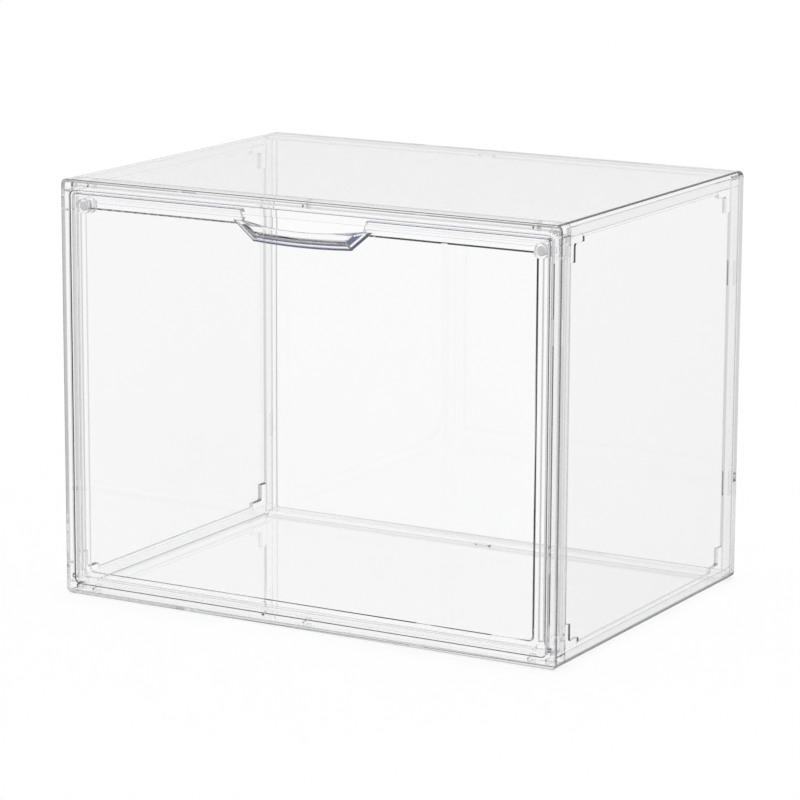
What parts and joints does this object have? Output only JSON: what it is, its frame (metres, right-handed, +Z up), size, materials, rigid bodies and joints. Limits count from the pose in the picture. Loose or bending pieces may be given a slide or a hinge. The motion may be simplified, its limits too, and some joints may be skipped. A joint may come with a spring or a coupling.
{
  "type": "display box with drop-front door",
  "caption": "Clear moulded display box with a magnetic drop-front door, a bulged finger pull and thin snap-in panels.",
  "frame": {"origin": "middle of the base's underside, midway between the frame's front face and the back's rear face", "axes": "+X to the right seen from the front, -Y out of the door, +Z up"},
  "size_m": [0.36, 0.2622, 0.273],
  "materials": {
    "clear_plastic": "clear, polished",
    "magnet_metal": "nickel plated"
  },
  "bodies": {
    "case": {"base_panel": "clear_plastic", "top_panel": "clear_plastic", "left_panel": "clear_plastic", "right_panel": "clear_plastic", "back_panel": "clear_plastic", "front_frame": "clear_plastic", "frame_magnet_left": "magnet_metal", "frame_magnet_right": "magnet_metal"},
    "door": {"door": "clear_plastic", "door_magnet_left": "magnet_metal", "door_magnet_right": "magnet_metal"}
  },
  "joints": [
    {"name": "door_hinge", "type": "hinge", "parent": "case", "child": "door", "pos_m": [0, -0.126, 0.0115], "axis": [1, 0, 0], "range_deg": [0, 90]}
  ]
}
